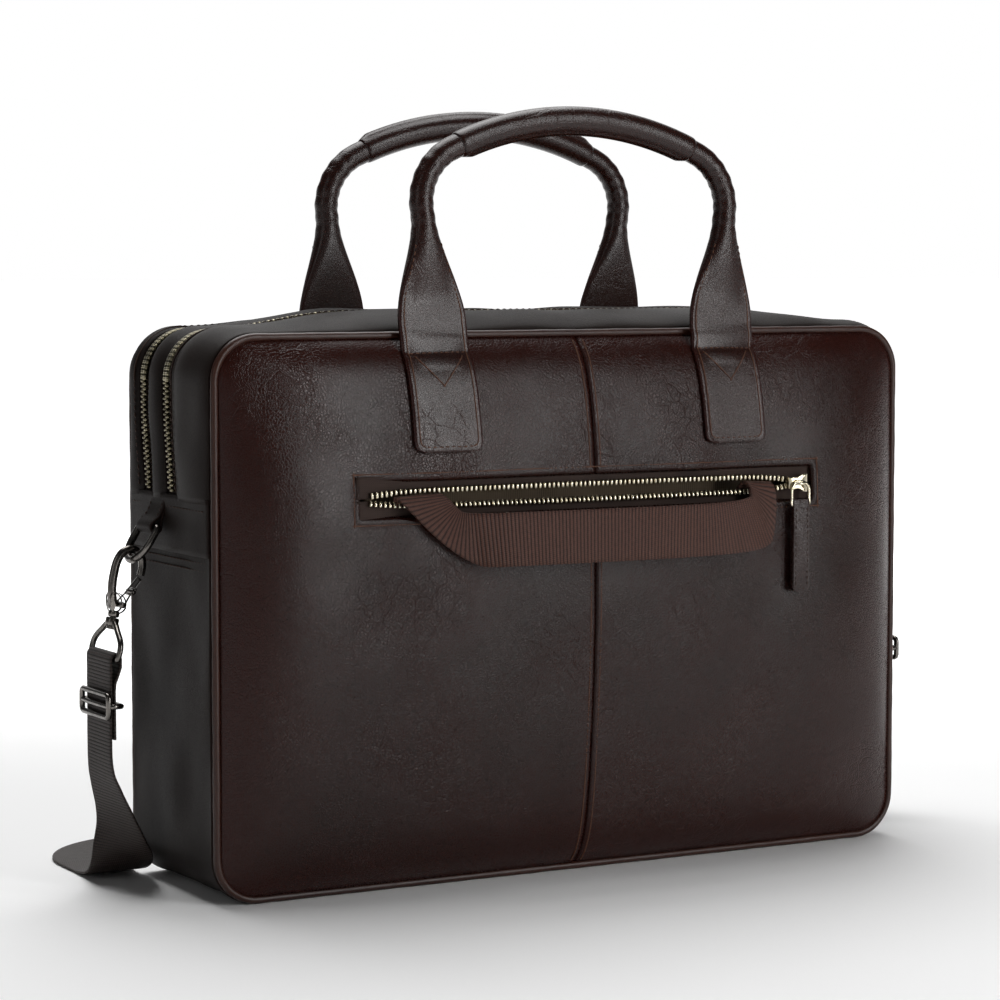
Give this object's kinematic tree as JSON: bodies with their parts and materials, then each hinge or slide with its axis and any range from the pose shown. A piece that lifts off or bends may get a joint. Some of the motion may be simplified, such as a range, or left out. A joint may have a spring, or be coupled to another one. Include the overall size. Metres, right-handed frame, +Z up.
{
  "type": "laptop briefcase",
  "caption": "Soft leather laptop briefcase with two hand handles, two zipped sections, a back zip pocket with a trolley strap, and a clip-on shoulder strap.",
  "frame": {"origin": "middle of the flat underside of the body", "axes": "+Z up, +X across the width, -Y out of the back panel that carries the trolley strap, +Y out of the front"},
  "size_m": [0.4834, 0.2401, 0.396],
  "materials": {
    "panel_leather": "semi-gloss pebbled",
    "handle_leather": "semi-gloss smooth",
    "piping_leather": "semi-gloss smooth",
    "gusset_leather": "matt fine grain",
    "zip_tape": "woven twill",
    "antique_brass": "antique",
    "pale_nickel": "bright",
    "stiffener_board": "matt",
    "lining_cloth": "woven",
    "trolley_webbing": "ribbed woven",
    "shoulder_webbing": "ribbed woven",
    "gunmetal": "polished dark"
  },
  "bodies": {
    "case": {"back_panel_left": "panel_leather", "back_panel_right": "panel_leather", "back_piping": "piping_leather", "bottom_gusset": "gusset_leather", "left_anchor_panel": "gusset_leather", "right_anchor_panel": "gusset_leather", "rear_band": "gusset_leather", "rear_zip_tape_outer": "zip_tape", "rear_zip_teeth_outer": "antique_brass", "base_board": "stiffener_board", "padded_back_wall": "lining_cloth", "divider_lower": "lining_cloth", "back_pocket_pouch": "lining_cloth", "back_pocket_tapes": "zip_tape", "back_pocket_teeth": "pale_nickel", "trolley_strap": "trolley_webbing", "back_handle_tabs": "handle_leather", "front_panel_lower": "panel_leather", "front_piping_lower": "piping_leather", "front_pocket_zip": "antique_brass", "left_chape": "gusset_leather", "right_chape": "gusset_leather", "left_swivel_eye": "gunmetal", "right_swivel_eye": "gunmetal", "shoulder_strap": "shoulder_webbing"},
    "middle_section": {"middle_band": "gusset_leather", "rear_zip_tape_inner": "zip_tape", "rear_zip_teeth_inner": "antique_brass", "front_zip_tape_inner": "zip_tape", "front_zip_teeth_inner": "antique_brass", "divider_upper": "lining_cloth"},
    "front_flap": {"front_panel_upper": "panel_leather", "front_piping_upper": "piping_leather", "front_band": "gusset_leather", "front_zip_tape_outer": "zip_tape", "front_zip_teeth_outer": "antique_brass", "front_handle_tabs": "handle_leather"},
    "back_handle": {"back_handle": "handle_leather", "back_handle_wrap": "handle_leather"},
    "front_handle": {"front_handle": "handle_leather", "front_handle_wrap": "handle_leather"},
    "back_pocket_slider": {"back_pocket_slider": "pale_nickel"},
    "back_pocket_pull": {"back_pocket_wire_loop": "pale_nickel", "back_pocket_pull": "handle_leather"},
    "front_pocket_slider": {"front_pocket_slider": "antique_brass"},
    "front_pocket_pull": {"front_pocket_pull": "handle_leather"},
    "rear_main_slider": {"rear_main_slider": "antique_brass"},
    "rear_main_pull": {"rear_main_pull": "antique_brass"},
    "front_main_slider": {"front_main_slider": "antique_brass"},
    "front_main_pull": {"front_main_pull": "antique_brass"},
    "left_d_ring": {"left_d_ring": "gunmetal"},
    "right_d_ring": {"right_d_ring": "gunmetal"},
    "left_snap_hook": {"left_snap_hook": "gunmetal"},
    "right_snap_hook": {"right_snap_hook": "gunmetal"},
    "left_hook_gate": {"left_hook_gate": "gunmetal"},
    "right_hook_gate": {"right_hook_gate": "gunmetal"},
    "left_strap_adjuster": {"left_strap_adjuster": "gunmetal"},
    "right_strap_adjuster": {"right_strap_adjuster": "gunmetal"}
  },
  "joints": [
    {"name": "front_flap_open", "type": "hinge", "parent": "case", "child": "front_flap", "pos_m": [0, 0.0706, 0.2], "axis": [-1, 0, 0], "range_deg": [0, 40]},
    {"name": "middle_section_open", "type": "hinge", "parent": "case", "child": "middle_section", "pos_m": [0, 0.026, 0.2], "axis": [-1, 0, 0], "range_deg": [0, 18]},
    {"name": "back_handle_fold", "type": "hinge", "parent": "case", "child": "back_handle", "pos_m": [0, -0.0567, 0.284], "axis": [1, 0, 0], "range_deg": [-8, 100]},
    {"name": "front_handle_fold", "type": "hinge", "parent": "front_flap", "child": "front_handle", "pos_m": [0, 0.0567, 0.284], "axis": [-1, 0, 0], "range_deg": [-8, 100]},
    {"name": "back_pocket_slide", "type": "slide", "parent": "case", "child": "back_pocket_slider", "axis": [-1, 0, 0], "range_m": [0, 0.008]},
    {"name": "back_pocket_pull_swing", "type": "hinge", "parent": "back_pocket_slider", "child": "back_pocket_pull", "pos_m": [0.1232, -0.07834, 0.1995], "axis": [-1, 0, 0], "range_deg": [0, 100]},
    {"name": "front_pocket_slide", "type": "slide", "parent": "case", "child": "front_pocket_slider", "axis": [-1, 0, 0], "range_m": [0, 0.238]},
    {"name": "front_pocket_pull_swing", "type": "hinge", "parent": "front_pocket_slider", "child": "front_pocket_pull", "pos_m": [0.1222, 0.0731, 0.158], "axis": [1, 0, 0], "range_deg": [0, 100]},
    {"name": "rear_main_slide", "type": "slide", "parent": "case", "child": "rear_main_slider", "axis": [0, 0, 1], "range_m": [0, 0.035]},
    {"name": "rear_main_pull_swing", "type": "hinge", "parent": "rear_main_slider", "child": "rear_main_pull", "pos_m": [0.2099, -0.003, 0.2066], "axis": [0, -1, 0], "range_deg": [0, 120]},
    {"name": "front_main_slide", "type": "slide", "parent": "case", "child": "front_main_slider", "axis": [0, 0, 1], "range_m": [0, 0.035]},
    {"name": "front_main_pull_swing", "type": "hinge", "parent": "front_main_slider", "child": "front_main_pull", "pos_m": [0.2099, 0.026, 0.2066], "axis": [0, -1, 0], "range_deg": [0, 120]},
    {"name": "left_d_ring_swing", "type": "hinge", "parent": "case", "child": "left_d_ring", "pos_m": [-0.211, 0.0115, 0.184], "axis": [0, 1, 0], "range_deg": [-4, 4]},
    {"name": "left_hook_swivel", "type": "hinge", "parent": "case", "child": "left_snap_hook", "pos_m": [-0.23055, 0.0115, 0.141], "axis": [0.2419, 0, 0.9703], "range_deg": [-15, 15]},
    {"name": "left_gate_open", "type": "hinge", "parent": "left_snap_hook", "child": "left_hook_gate", "pos_m": [-0.2272, 0.0115, 0.14531], "axis": [0, -1, 0], "range_deg": [0, 22], "stiffness_Nm_per_rad": 0.03},
    {"name": "left_adjuster_slide", "type": "slide", "parent": "case", "child": "left_strap_adjuster", "axis": [0, 0, -1], "range_m": [0, 0.02]},
    {"name": "right_d_ring_swing", "type": "hinge", "parent": "case", "child": "right_d_ring", "pos_m": [0.211, 0.0115, 0.184], "axis": [0, 1, 0], "range_deg": [-4, 4]},
    {"name": "right_hook_swivel", "type": "hinge", "parent": "case", "child": "right_snap_hook", "pos_m": [0.23055, 0.0115, 0.141], "axis": [-0.2419, 0, 0.9703], "range_deg": [-15, 15]},
    {"name": "right_gate_open", "type": "hinge", "parent": "right_snap_hook", "child": "right_hook_gate", "pos_m": [0.2272, 0.0115, 0.14531], "axis": [0, 1, 0], "range_deg": [0, 22], "stiffness_Nm_per_rad": 0.03},
    {"name": "right_adjuster_slide", "type": "slide", "parent": "case", "child": "right_strap_adjuster", "axis": [0, 0, -1], "range_m": [0, 0.02]}
  ],
  "couplings": [
    {"joint": "middle_section_open", "follows": "front_flap_open", "ratio": 0.45}
  ]
}
